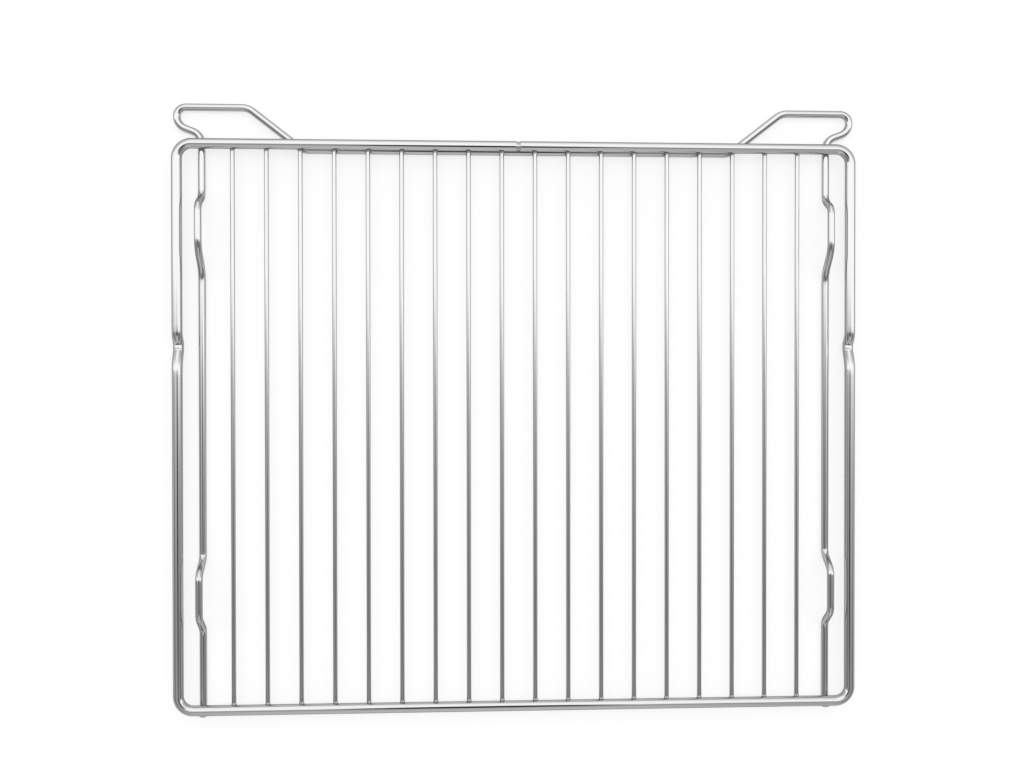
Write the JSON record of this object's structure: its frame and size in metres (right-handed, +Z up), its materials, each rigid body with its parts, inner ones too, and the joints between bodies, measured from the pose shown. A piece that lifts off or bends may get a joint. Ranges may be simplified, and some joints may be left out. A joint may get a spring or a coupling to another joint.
{
  "type": "oven shelf rack",
  "caption": "Flat rectangular wire shelf for an oven: round rim with stop notches, parallel grid bars, and a bent guard wire with feet and rear ears, welded and chromed.",
  "frame": {"origin": "on the ground under the middle of the whole rack, ears included", "axes": "+X left to right along the rails, +Y front to rear towards the ears, +Z up from the ground, which the guard wire lies on; the feet point up, as pictured"},
  "size_m": [0.466, 0.4152, 0.0171],
  "materials": {
    "chromed_wire": "bright chrome plate on drawn steel wire"
  },
  "bodies": {
    "root": {"rim_wire": "chromed_wire", "guard_wire": "chromed_wire", "grid_bar_01": "chromed_wire", "grid_bar_02": "chromed_wire", "grid_bar_03": "chromed_wire", "grid_bar_04": "chromed_wire", "grid_bar_05": "chromed_wire", "grid_bar_06": "chromed_wire", "grid_bar_07": "chromed_wire", "grid_bar_08": "chromed_wire", "grid_bar_09": "chromed_wire", "grid_bar_10": "chromed_wire", "grid_bar_11": "chromed_wire", "grid_bar_12": "chromed_wire", "grid_bar_13": "chromed_wire", "grid_bar_14": "chromed_wire", "grid_bar_15": "chromed_wire", "grid_bar_16": "chromed_wire", "grid_bar_17": "chromed_wire", "grid_bar_18": "chromed_wire"}
  },
  "joints": []
}
